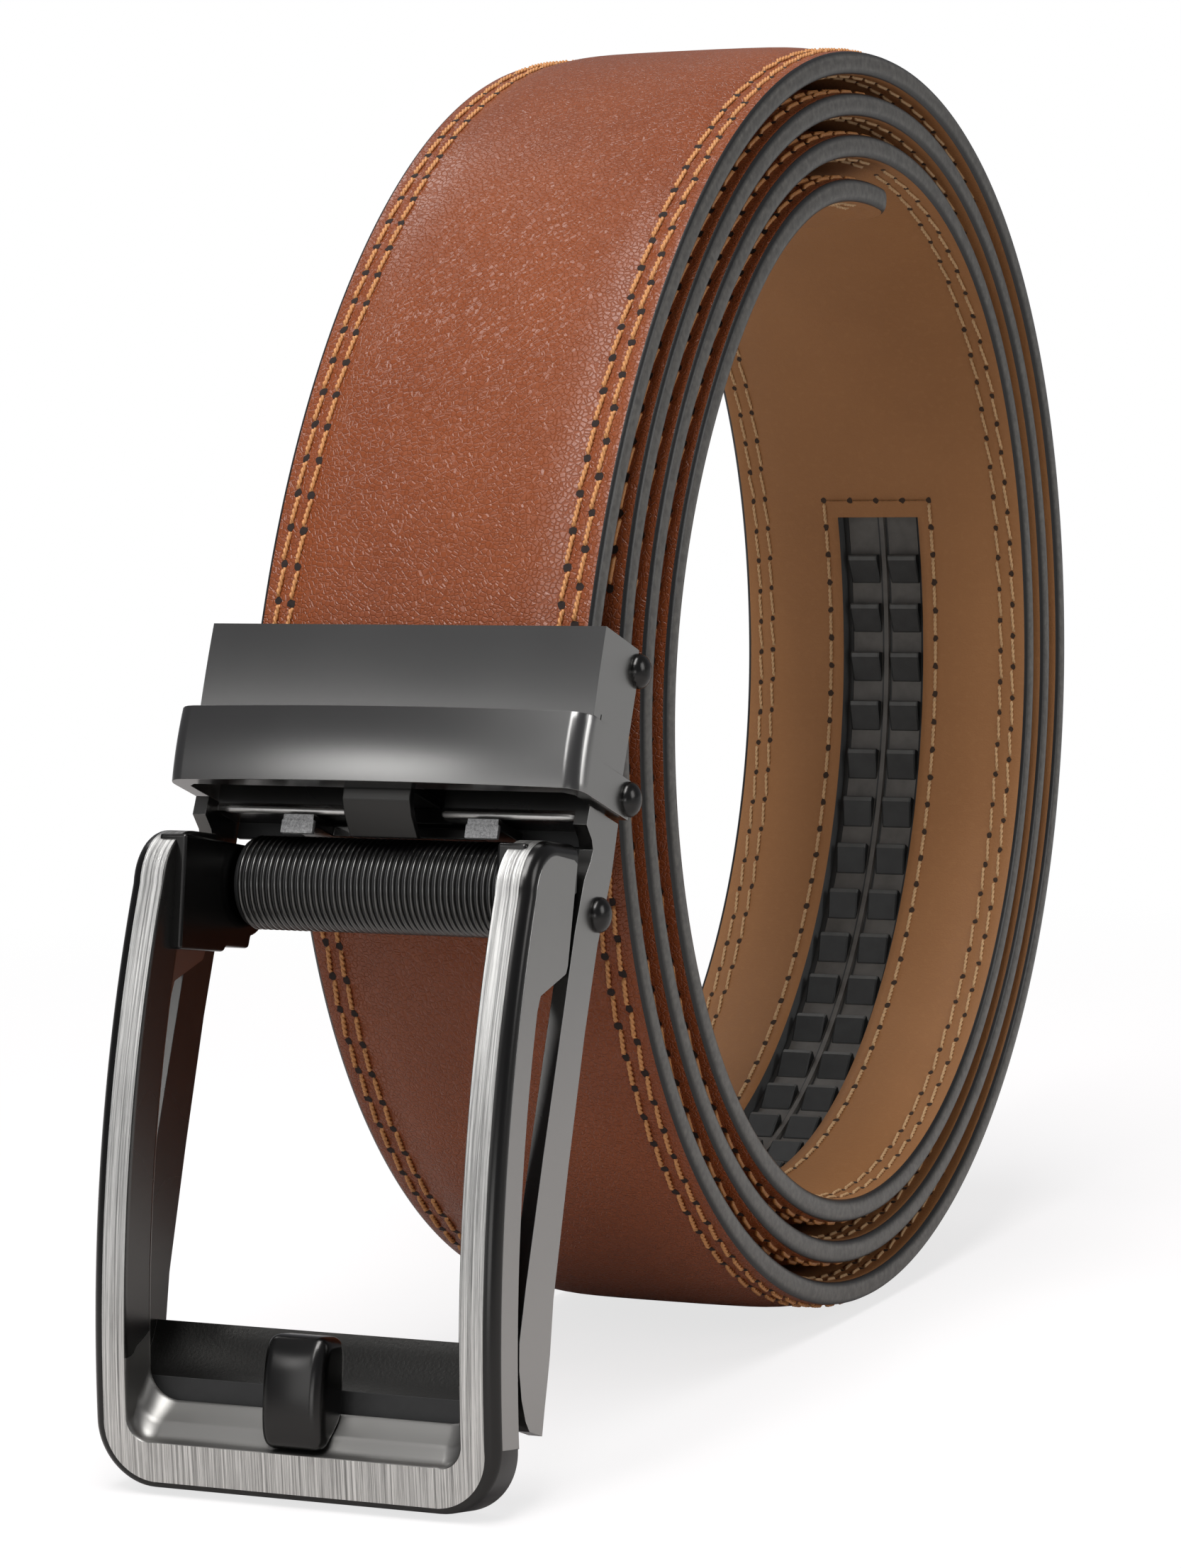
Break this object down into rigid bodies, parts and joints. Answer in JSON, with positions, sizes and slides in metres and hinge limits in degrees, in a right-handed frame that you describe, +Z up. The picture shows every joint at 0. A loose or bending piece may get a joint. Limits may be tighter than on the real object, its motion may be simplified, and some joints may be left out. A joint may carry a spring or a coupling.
{
  "type": "ratchet belt",
  "caption": "Stitched leather ratchet belt, coiled up on its edge, with a toothed track inside its end and a metal clamp buckle with a hinged front frame.",
  "frame": {"origin": "on the floor under the middle of the belt's bounding box", "axes": "+X across the strap's width, to the right seen from the buckle's side; -Y towards the buckle; +Z up"},
  "size_m": [0.045, 0.1644, 0.134],
  "materials": {
    "outer_leather": "smooth cognac brown",
    "lining_leather": "matt tan",
    "track_rubber": "matt black",
    "gunmetal": "polished gunmetal",
    "dark_gunmetal": "polished black nickel",
    "brushed_nickel": "brushed along its height",
    "bare_steel": "rough, bare"
  },
  "bodies": {
    "belt": {"strap_leather": "outer_leather", "strap_lining": "lining_leather", "ratchet_track": "track_rubber", "clamp_cover": "gunmetal", "clamp_chassis": "dark_gunmetal", "keeper": "gunmetal", "keeper_tab": "dark_gunmetal", "base_arms": "gunmetal", "pawl": "bare_steel", "ribbed_bar": "dark_gunmetal", "clamp_rivet_right": "gunmetal", "clamp_rivet_left": "gunmetal", "keeper_rivet_right": "gunmetal", "keeper_rivet_left": "gunmetal", "hinge_rivet_right": "gunmetal", "hinge_rivet_left": "gunmetal"},
    "frame": {"front_frame": "brushed_nickel", "prong": "dark_gunmetal"}
  },
  "joints": [
    {"name": "frame_hinge", "type": "hinge", "parent": "belt", "child": "frame", "pos_m": [0, -0.05798, 0.05145], "axis": [-1, 0, 0], "range_deg": [0, 17], "stiffness_Nm_per_rad": 0.02, "springref_deg": -20.05}
  ]
}
